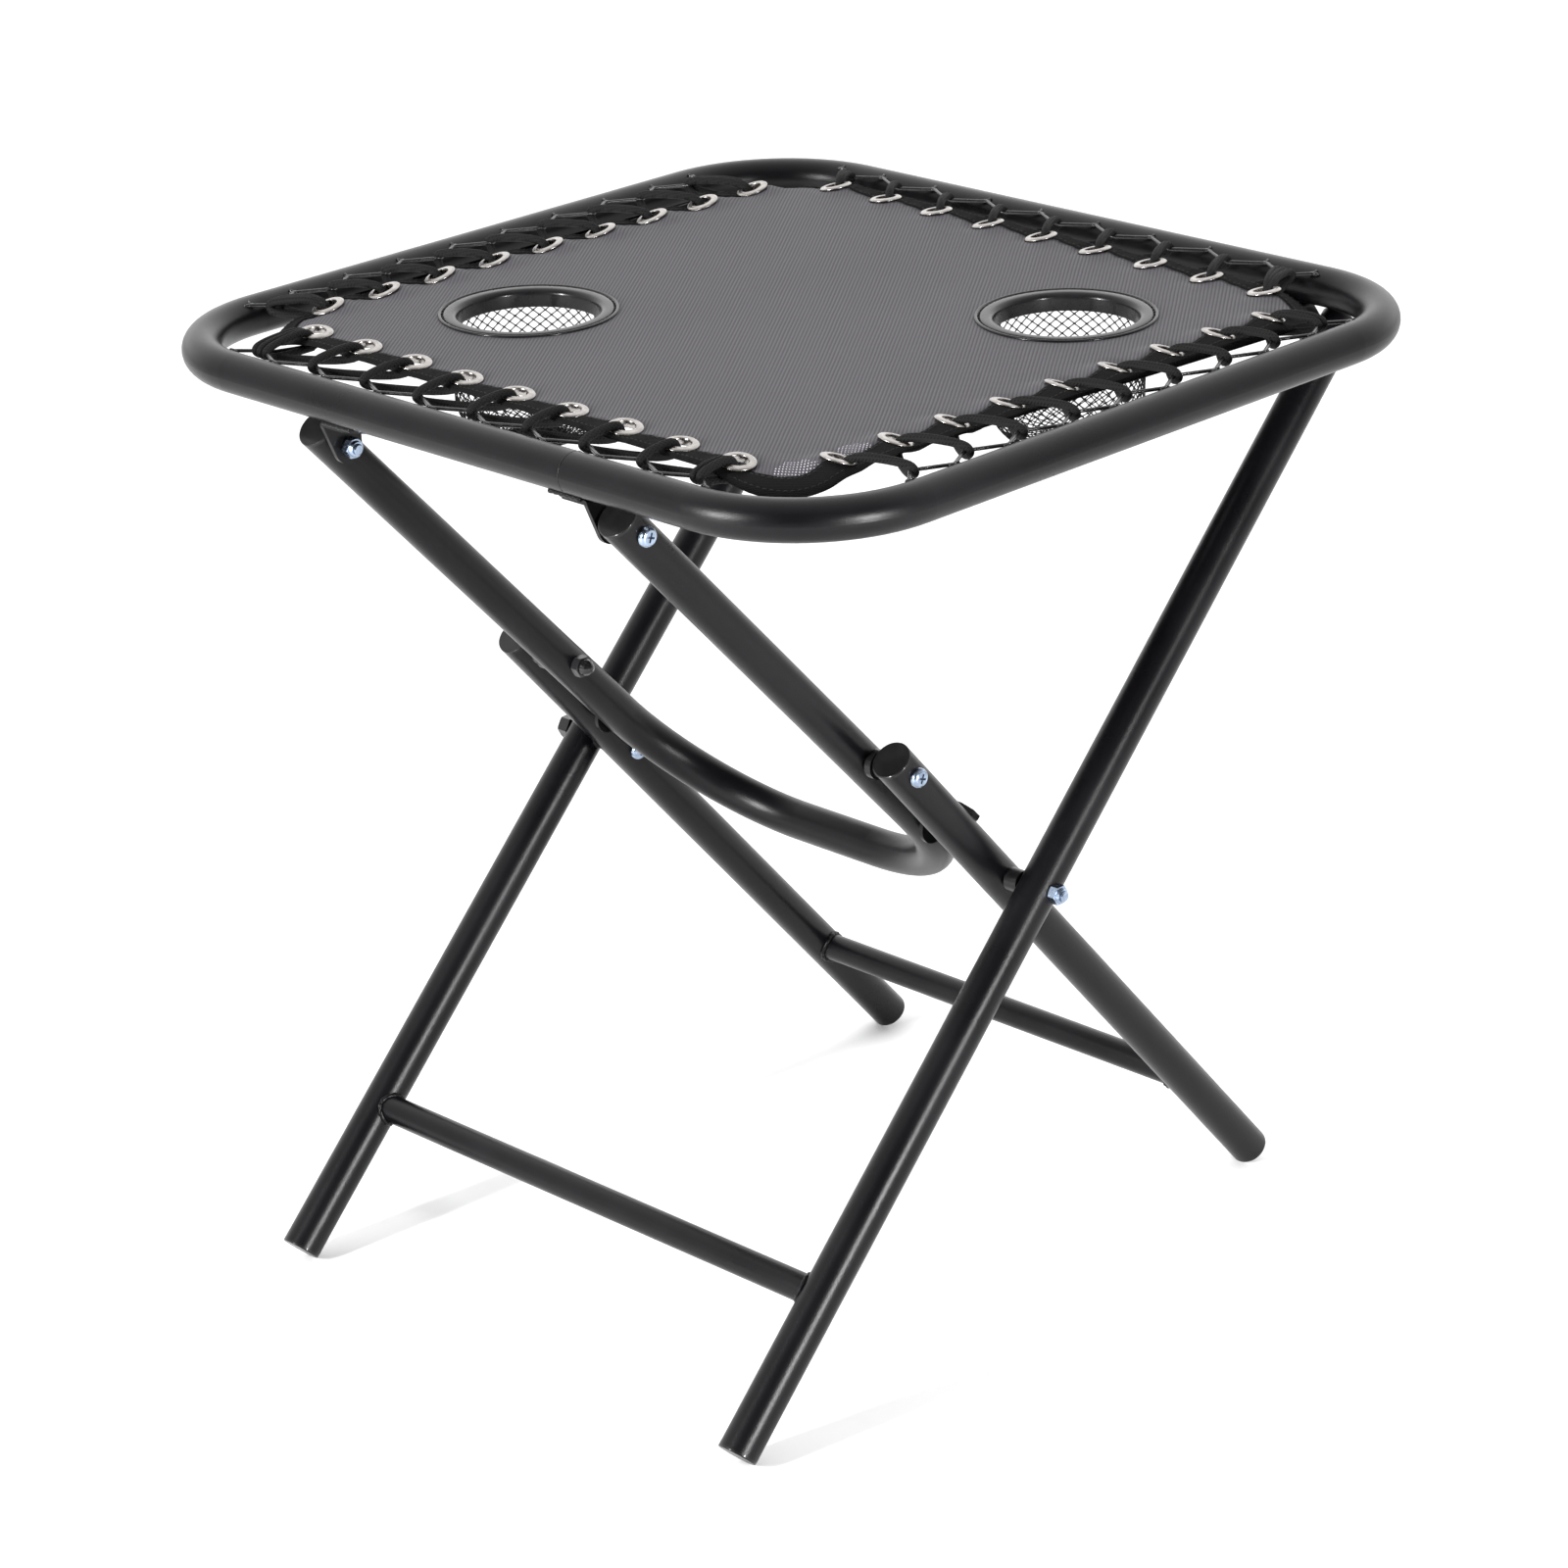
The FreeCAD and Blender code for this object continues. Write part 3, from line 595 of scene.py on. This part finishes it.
def outside(x, y, grow):
    """Signed distance outside the laced panel's rounded outline, grown by a margin."""
    back_x, back_y = unlaced(x, y)
    corner = PANEL_CORNER + max(grow, 0)
    dx = back_x - (LINE_X + grow - corner)
    dy = back_y - (LINE_Y + grow - corner)
    over = np.hypot(np.maximum(dx, 0), np.maximum(dy, 0))
    return over + np.minimum(np.maximum(dx, dy), 0) - corner


def past_corner(x, y):
    """0 up to the line through a corner's two grommets, 1 at the corner's tip."""
    steps = (PER_SIDE - 1) / 2
    across_x, across_y = LINE_Y - steps * PITCH_Y, LINE_X - steps * PITCH_X
    size = math.hypot(across_x, across_y)
    back_x, back_y = unlaced(x, y)
    beyond = (back_x - LINE_X) * across_x / size + (back_y - steps * PITCH_Y) * across_y / size
    return np.clip(beyond / DROOP_REACH, 0, 1.2)


def panel_height(x, y):
    """Middle height of the cloth: pulled over at each grommet, slack between, sagging inside."""
    height = np.full(np.shape(x), FABRIC_Z)
    for _, centre, slope in TILTS:
        dx, dy = x - centre.x, y - centre.y
        near = np.exp(-(np.hypot(dx, dy) / TILT_REACH) ** 4)
        height = height - near * (slope.x * dx + slope.y * dy)
    edge = outside(x, y, 0.0)
    inside_sag = np.clip(-edge / 0.11, 0, 1) ** 1.5
    from_cups = np.minimum(*(np.hypot(x - c.x, y - c.y) for c in CUPS.values()))
    inside_sag = inside_sag * np.clip((from_cups - 52 * MM) / (40 * MM), 0, 1)
    height = height - 0.9 * MM * inside_sag
    droop = np.clip(edge / HEM, 0, 1.2) ** 2
    return height - 0.8 * MM * droop - CORNER_DROOP * past_corner(x, y) ** 1.4


def height_at(point):
    return float(panel_height(np.array(point.x), np.array(point.y)))


def outline_points(grow, spacing):
    """Points round the laced panel's outline, grown by a margin."""
    corner = PANEL_CORNER + max(grow, 0)
    half_x, half_y = LINE_X + grow - corner, LINE_Y + grow - corner
    points = []
    for turn, (sx, sy) in enumerate(((1, 1), (-1, 1), (-1, -1), (1, -1))):
        centre = Vector((sx * half_x, sy * half_y, 0))
        steps = max(4, round(corner * math.pi / 2 / spacing))
        start = turn * math.pi / 2
        bend = [centre + corner * Vector((math.cos(start + a), math.sin(start + a), 0))
                for a in (math.pi / 2 * i / steps for i in range(steps + 1))]
        if points:
            points += straight(points[-1], bend[0], spacing)
        points += bend
    points += straight(points[-1], points[0], spacing)
    return [laced(point) for point in points]


def straight(start, end, spacing):
    """Points between two ends, without the ends."""
    steps = max(1, round((end - start).length / spacing))
    return [start.lerp(end, i / steps) for i in range(1, steps)]


def circle(centre, radius, steps):
    angles = [2 * math.pi * i / steps for i in range(steps)]
    return [Vector((centre.x + radius * math.cos(a), centre.y + radius * math.sin(a), 0)) for a in angles]


def triangulate(loops, inside, spacing):
    """Triangles that fill the loops wherever inside(x, y, margin) holds."""
    points, edges = [], []
    for loop in loops:
        base = len(points)
        points += [Vector((p.x, p.y)) for p in loop]
        edges += [(base + i, base + (i + 1) % len(loop)) for i in range(len(loop))]
    reach = 0.23
    rows = np.arange(-reach, reach, spacing * math.sqrt(3) / 2)
    columns = np.arange(-reach, reach, spacing)
    x, y = np.meshgrid(columns, rows)
    x = x + (np.arange(len(rows)) % 2)[:, None] * spacing / 2
    keep = inside(x, y, spacing * 0.45)
    points += [Vector(p) for p in zip(x[keep].tolist(), y[keep].tolist())]
    flat, _, faces, *_ = delaunay_2d_cdt(points, edges, [], 0, 1e-7)
    middles = np.array([[sum(flat[i][k] for i in face) / 3 for k in (0, 1)] for face in faces])
    good = inside(middles[:, 0], middles[:, 1], 0.0)
    return flat, [face for face, ok in zip(faces, good) if ok]


def cloth(flat, faces, half_thickness):
    """Closed sheet of a flat triangulation, raised to the panel's height."""
    x = np.array([p.x for p in flat])
    y = np.array([p.y for p in flat])
    middle = panel_height(x, y)
    half = half_thickness(x, y)
    top = [(a, b, c) for a, b, c in zip(x, y, middle + half)]
    bottom = [(a, b, c) for a, b, c in zip(x, y, middle - half)]
    count = len(flat)
    walls = {}
    for face in faces:
        for a, b in zip(face, face[1:] + face[:1]):
            if (b, a) in walls:
                del walls[b, a]
            else:
                walls[a, b] = [count + a, count + b, b, a]
    under = [[count + i for i in face[::-1]] for face in faces]
    shape = Shape()
    shape.add(top + bottom, [list(face) for face in faces] + under + list(walls.values()))
    return drop_loose(shape)


def drop_loose(shape):
    """The same shape without points that no face uses."""
    used = sorted({index for face in shape.faces for index in face})
    place = {old: new for new, old in enumerate(used)}
    shape.points = [shape.points[index] for index in used]
    shape.faces = [[place[index] for index in face] for face in shape.faces]
    return shape


def clear_of(x, y, centres, radius):
    clear = np.ones(np.shape(x), bool)
    for centre in centres:
        clear &= np.hypot(x - centre.x, y - centre.y) > radius
    return clear


# ---- fabric, binding and grommets ---------------------------------------------------------
def fabric_panel(looks):
    """The grey sheet between the grommet lines, with its two cup openings."""
    centres = [centre for _, centre, _ in TILTS]
    cup_hole = CUP_R + 2.2 * MM

    def inside(x, y, margin):
        return ((outside(x, y, 0.0) < -margin) & clear_of(x, y, CUPS.values(), cup_hole + margin)
                & clear_of(x, y, centres, BARREL_R + margin))

    loops = [outline_points(0.0, 4 * MM)]
    loops += [circle(centre, BARREL_R, 14) for centre in centres]
    loops += [circle(centre, cup_hole, 72) for centre in CUPS.values()]
    flat, faces = triangulate(loops, inside, 4.2 * MM)
    shape = cloth(flat, faces, lambda x, y: np.full(np.shape(x), FABRIC_T / 2))
    return shape.piece("fabric_sheet", looks["mesh_fabric"], "mesh_fabric", "tabletop", "fabric_panel")


def edge_binding(looks):
    """Black tape folded over the sheet's edge, thin and rounded at its outer fold."""
    centres = [centre for _, centre, _ in TILTS]

    def inside(x, y, margin):
        return ((outside(x, y, HEM) < -margin) & (outside(x, y, 0.0) > margin)
                & clear_of(x, y, centres, BARREL_R + margin))

    def half_thickness(x, y):
        inward = np.clip(-outside(x, y, HEM) / (2.6 * MM), 0.02, 1)
        fold = np.sqrt(1 - (1 - inward) ** 2)
        soft = 1 + 0.12 * np.sin(x * 900) * np.sin(y * 840)
        return HEM_T / 2 * np.maximum(fold, 0.25) * soft

    loops = [outline_points(HEM, 2 * MM), outline_points(0.0, 2.5 * MM)]
    loops += [circle(centre, BARREL_R, 14) for centre in centres]
    flat, faces = triangulate(loops, inside, 2.1 * MM)
    shape = cloth(flat, faces, half_thickness)
    return shape.piece("hem_tape", looks["binding"], "binding", "tabletop", "edge_binding")


def stitch(place, ahead, length, radius):
    """One short thread that dips into the cloth at both ends."""
    points = [place - ahead * length / 2 - UP * radius * 1.6,
              place - ahead * length / 4,
              place + ahead * length / 4,
              place + ahead * length / 2 - UP * radius * 1.6]
    return tube(points, [radius * 0.5, radius, radius, radius * 0.5], 6)


def hem_stitches(looks):
    """Two sewn rows along the binding."""
    shape = Shape()
    pitch = 3.4 * MM
    thread_r = 0.32 * MM
    for grow in (1.6 * MM, HEM - 3.0 * MM):
        row = outline_points(grow, pitch)
        for here, after in zip(row, row[1:] + row[:1]):
            middle = here.lerp(after, 0.5)
            gaps = [(middle - centre).length for _, centre, _ in TILTS]
            if min(gaps) < 10.6 * MM or (after - here).length < 1.5 * MM:
                continue
            top = height_at(middle) + HEM_T / 2 + thread_r * 0.5
            place = Vector((middle.x, middle.y, top))
            shape.add(*stitch(place, (after - here).normalized(), (after - here).length * 0.8, thread_r))
    shape.piece("hem_stitches", looks["thread"], "binding", "tabletop")


def grommet_profile():
    """Rolled eyelet: inner bead, shallow groove and broad domed flange; a washer below."""
    top = HEM_T / 2 / MM + 0.05
    upper = [(5.5, top - 0.2), (5.55, top + 0.7), (5.8, top + 1.08), (6.25, top + 1.2),
             (6.7, top + 1.08), (7.05, top + 0.96), (7.5, top + 1.02), (8.0, top + 1.06),
             (8.5, top + 0.92), (9.0, top + 0.62), (9.35, top + 0.28), (9.5, top - 0.05),
             (9.35, top - 0.2)]
    lower = [(6.1, top - 0.15), (6.1, -top), (9.0, -top), (9.2, -top - 0.3), (9.0, -top - 0.6),
             (6.0, -top - 0.75), (5.55, -top - 0.4)]
    return [(r * MM, h * MM) for r, h in upper + lower]


def grommets(looks):
    for side in SIDES:
        shape = Shape()
        for name, centre, slope in TILTS:
            if name != side:
                continue
            normal = Vector((slope.x, slope.y, 1)).normalized()
            turn = UP.rotation_difference(normal).to_matrix().to_4x4()
            place = Matrix.Translation((centre.x, centre.y, height_at(centre))) @ turn
            shape.add(*lathe(grommet_profile(), place, 40))
        shape.piece("eyelets_" + side, looks["nickel"], "nickel", "tabletop", "grommets_" + side)


# ---- lacing -------------------------------------------------------------------------------
def curve_piece(name, route, radius, look, slot, *stands_for):
    """Round cord on one smooth NURBS line."""
    data = bpy.data.curves.new(name, "CURVE")
    data.dimensions = "3D"
    data.bevel_depth = radius
    data.bevel_resolution = 4
    data.resolution_u = 6
    data.use_fill_caps = True
    spline = data.splines.new("NURBS")
    spline.points.add(len(route) - 1)
    for place, point in zip(spline.points, route):
        place.co = (*point, 1)
    spline.order_u = 3
    spline.use_endpoint_u = True
    data.materials.append(look)
    obj = bpy.data.objects.new(name, data)
    bpy.context.collection.objects.link(obj)
    return own(obj, slot, "tabletop", *stands_for)


def wire_bend(side, step):
    """Inner bend of the zigzag wire that one grommet's cord hooks round."""
    outward, along = SIDES[side]
    _, ring_half, pitch = side_sizes(side)
    out = ring_half - WELD_IN - WIRE_DEPTH
    return outward * out + along * (step * pitch + APEX_AHEAD[side]) + UP * (FABRIC_Z - WIRE_DROP)


def hook_points(side, step, centre):
    """Up through one grommet, out over the hem, round the wire and back underneath."""
    outward, along = SIDES[side]
    hook = CORD_R + WIRE_R
    eye = centre + UP * FABRIC_Z
    bend = wire_bend(side, step)
    return [eye - along * 1.5 * MM + outward * 2.0 * MM - UP * 7.0 * MM,
            eye + outward * 2.4 * MM + UP * 4.8 * MM,
            bend - outward * 1.5 * MM + UP * (hook + 0.3 * MM),
            bend + outward * (hook + 1.2 * MM),
            bend - outward * 1.5 * MM + along * 1.5 * MM - UP * (hook + 0.6 * MM)]


def elastic_cords(looks):
    for side in SIDES:
        route = []
        for step, centre in zip(side_steps(), grommet_centres(side)):
            route += hook_points(side, step, centre)
        curve_piece("cord_" + side, route, CORD_R, looks["elastic"], "elastic", "elastic_cord_" + side)


# Further turns of cord at the corner grommets: side, place in the row, number of turns.
CORNER_TURNS = (("left", 0, 2), ("left", -1, 1), ("front", -1, 1), ("right", 0, 2), ("right", -1, 1),
                ("back", 0, 1), ("back", -1, 2))


def corner_turns(looks):
    for side, index, turns in CORNER_TURNS:
        outward, along = SIDES[side]
        step, centre = side_steps()[index], grommet_centres(side)[index]
        for turn in range(turns):
            sign = 1 if turn % 2 else -1
            shift = along * sign * 4.3 * MM
            points = hook_points(side, step, centre)
            inner = [points[0] + shift * 0.2, points[1] + shift * 0.35 + UP * 0.6 * MM]
            route = inner + [point + shift for point in points[2:]]
            route.append(centre + UP * (FABRIC_Z - 6.5 * MM) + outward * 3 * MM)
            name = f"corner_turn_{side}_{'last' if index else 'first'}_{turn + 1}"
            curve_piece(name, route, CORD_R * 0.9, looks["elastic"], "elastic")


def wire_welds(looks):
    """Little beads, each with a short upturned wire tip, where the zigzags meet the ring."""
    shape = Shape()
    for side, (outward, along) in SIDES.items():
        _, _, pitch = side_sizes(side)
        to_weld = outward * WIRE_DEPTH + UP * (RING_Z + WELD_UP - FABRIC_Z + WIRE_DROP)
        steps = side_steps()
        for step in [steps[0] - 0.6] + steps:
            reach = 0.3 if step in (steps[0] - 0.6, steps[-1]) else 0.5
            place = wire_bend(side, max(step, steps[0])) + to_weld
            place += along * pitch * (-0.3 if step < steps[0] else reach)
            tilt = random.uniform(-0.3, 0.3)
            shape.add(*blob(place, (3.4 * MM, 1.5 * MM, 1.2 * MM), (along + outward * tilt).normalized()))
            tip = place + outward * 2.4 * MM + UP * 1.6 * MM + along * random.uniform(-1.5, 1.5) * MM
            shape.add(*tube([place, place.lerp(tip, 0.5), tip], [0.95 * MM, 0.85 * MM, 0.6 * MM], 8))
    shape.piece("wire_welds", looks["wire"], "wire", "tabletop")


# ---- cup sleeves and nets -------------------------------------------------------------------
def sleeve_profile():
    """Sleeve wall, rounded mouth, flat flange, sewn groove and rim, in millimetres."""
    wall = [(38.9, -8.5), (38.6, -8.2), (38.5, -7.6), (38.5, -3.0)]
    mouth = arc((41.7, -1.75), 3.2, 180, 96, 10)
    flange = [(42.2, 1.5), (43.8, 1.5), (45.4, 1.4), (45.8, 1.25)]
    groove = [(46.0, 0.8), (46.5, 0.65), (47.0, 0.8), (47.2, 1.3)]
    edge = [(47.5, 1.5)] + arc((48.1, 0.8), 0.85, 85, -20, 6)
    back = [(48.8, 0.5), (40.5, 0.5), (40.5, -8.2), (40.1, -8.5)]
    return [(r * MM, h * MM) for r, h in wall + mouth + flange + groove + edge + back]


def cup_sleeves(looks):
    for name, centre in CUPS.items():
        place = Matrix.Translation((centre.x, centre.y, FABRIC_Z))
        shape = Shape()
        shape.add(*lathe(sleeve_profile(), place, 128))
        shape.piece("cup_sleeve_" + name, looks["cup_plastic"], "cup_plastic", "tabletop",
                    "cup_ring_" + name)
        sleeve_stitches(name, centre, looks)


def sleeve_stitches(name, centre, looks):
    """Uneven thread in the flange's groove."""
    shape = Shape()
    count = 64
    for index in range(count):
        angle = 2 * math.pi * (index + random.uniform(-0.12, 0.12)) / count
        radial = Vector((math.cos(angle), math.sin(angle), 0))
        ahead = Vector((-math.sin(angle), math.cos(angle), 0)) + radial * random.uniform(-0.12, 0.12)
        place = Vector((centre.x, centre.y, FABRIC_Z + 1.05 * MM)) + radial * 46.5 * MM
        shape.add(*stitch(place, ahead.normalized(), random.uniform(3.0, 3.9) * MM, 0.42 * MM))
    shape.piece("sleeve_stitches_" + name, looks["thread"], "binding", "tabletop")


def bag_point(centre, angle, down):
    """Point on the net bag, a distance down its side and in over its round bottom."""
    wall = NET_DEPTH - NET_CORNER
    if down < wall:
        radius, depth = NET_R - 1.2 * MM * down / wall, down
    else:
        turn = min((down - wall) / NET_CORNER, math.pi / 2)
        over = max(down - wall - NET_CORNER * math.pi / 2, 0)
        radius = NET_R - 1.2 * MM - NET_CORNER * (1 - math.cos(turn)) - over
        depth = wall + NET_CORNER * math.sin(turn)
    slack = 1 + 0.02 * math.sin(3 * angle + 40 * depth) * min(depth / wall, 1)
    radius = min(radius * slack, NET_R)
    return Vector((centre.x + radius * math.cos(angle), centre.y + radius * math.sin(angle),
                   FABRIC_Z - FABRIC_T / 2 - depth))


def cup_nets(looks):
    """Knitted bags: two crossing sets of slanting yarns that thicken at each knot."""
    columns = 40
    half = math.pi / columns
    row = 2.7 * MM
    wall = NET_DEPTH - NET_CORNER
    end = wall + NET_CORNER * math.pi / 2 + (NET_R - 1.2 * MM - NET_CORNER) - 8 * MM
    downs = [0.0]
    while downs[-1] < end:
        radius = math.hypot(*(bag_point(Vector((0, 0)), 0, downs[-1]).xy))
        downs.append(downs[-1] + row * max(radius / NET_R, 0.35))
    for name, centre in CUPS.items():
        shape = Shape()
        for column in range(columns):
            for lean in (-1, 1):
                points, radii = [], []
                for index, (down, below) in enumerate(zip(downs, downs[1:])):
                    angle = 2 * half * column + lean * half * index
                    points.append(bag_point(centre, angle, down))
                    points.append(bag_point(centre, angle + lean * half * 0.5, (down + below) / 2))
                    radii += [0.42 * MM, 0.29 * MM]
                shape.add(*tube(points, radii, 5))
        band = [(NET_R - 0.5 * MM, -2.6 * MM), (NET_R + 0.3 * MM, -2.6 * MM),
                (NET_R + 0.3 * MM, -0.6 * MM), (NET_R - 0.5 * MM, -0.6 * MM)]
        shape.add(*lathe(band, Matrix.Translation((centre.x, centre.y, FABRIC_Z)), 84))
        low = FABRIC_Z - FABRIC_T / 2 - NET_DEPTH
        gather = [(0.5 * MM, 0.2 * MM), (8.5 * MM, 0.2 * MM), (9.2 * MM, 0.9 * MM), (8.5 * MM, 1.5 * MM),
                  (0.5 * MM, 1.9 * MM)]
        shape.add(*lathe(gather, Matrix.Translation((centre.x, centre.y, low - 0.4 * MM)), 36))
        bag = shape.piece("net_bag_" + name, looks["net"], "net", "tabletop", "cup_net_" + name)
        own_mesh(bag)


# ---- welds --------------------------------------------------------------------------------
OUTER_SLOPE = math.radians(45.38)
INNER_SLOPE = math.radians(180 - 48.69)
BAR_R = 8 * MM


def crossbar_welds(looks):
    """Beads round both ends of each crossbar, along its saddle on the leg."""
    for name, slope, leg_y in (("outer", OUTER_SLOPE, 175.5 * MM), ("inner", INNER_SLOPE, 144.7 * MM)):
        low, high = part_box(name + "_crossbar")
        middle = (low + high) / 2
        run = Vector((math.cos(slope), 0, math.sin(slope)))
        side_way = Vector((-math.sin(slope), 0, math.cos(slope)))
        shape = Shape()
        for sign in (-1, 1):
            points = []
            for index in range(48):
                angle = 2 * math.pi * index / 48
                reach = math.sqrt(TUBE_R ** 2 - (BAR_R * math.sin(angle)) ** 2)
                offset = (run * math.cos(angle) + side_way * math.sin(angle)) * (BAR_R + 0.4 * MM)
                points.append(Vector((middle.x, sign * (leg_y - reach - 0.3 * MM), middle.z)) + offset)
            radii = [(1.35 + 0.25 * math.sin(index * 1.9) + random.uniform(-0.08, 0.08)) * MM
                     for index in range(48)]
            shape.add(*tube(points, radii, 8, closed=True))
        shape.piece(name + "_bar_welds", looks["powder_coat"], "powder_coat", name + "_legs")


def bracket_welds(looks):
    """Beads along both sides of the ring on each bracket's flange."""
    shape = Shape()
    for node in ("arm_bracket_front", "arm_bracket_back", "leg_bracket_front", "leg_bracket_back"):
        low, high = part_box(node)
        ring_x = math.copysign(RING_HALF_X, low.x)
        inset = 4 * MM
        for offset in (-4.6 * MM, 4.6 * MM):
            start, end = low.y + inset, high.y - inset
            steps = 16
            points = [Vector((ring_x + offset, start + (end - start) * i / steps, high.z + 0.5 * MM))
                      for i in range(steps + 1)]
            radii = [(1.5 + 0.25 * math.sin(i * 2.1) + random.uniform(-0.1, 0.1)) * MM
                     for i in range(steps + 1)]
            shape.add(*tube(points, radii, 8))
    shape.piece("bracket_welds", looks["powder_coat"], "powder_coat", "tabletop")


def ring_seam(looks):
    """The butt weld that closes the ring: a low ridge round the tube."""
    place = Vector((-RING_HALF_X, -88 * MM, RING_Z))
    points = []
    radii = []
    for index in range(64):
        angle = 2 * math.pi * index / 64
        points.append(place + Vector((math.cos(angle), 0, math.sin(angle))) * (TUBE_R - 0.45 * MM))
        radii.append((0.62 + 0.06 * math.sin(index * 2.3)) * MM)
    shape = Shape()
    shape.add(*tube(points, radii, 8, closed=True))
    shape.piece("ring_seam", looks["powder_coat"], "powder_coat", "tabletop")


# ---- putting it together --------------------------------------------------------------------
def main():
    make_camera()
    make_studio()
    looks = make_materials()
    dress_cad_nodes(looks)
    sheet = fabric_panel(looks)
    hem = edge_binding(looks)
    hem_stitches(looks)
    grommets(looks)
    elastic_cords(looks)
    corner_turns(looks)
    wire_welds(looks)
    cup_sleeves(looks)
    cup_nets(looks)
    crossbar_welds(looks)
    bracket_welds(looks)
    ring_seam(looks)


main()
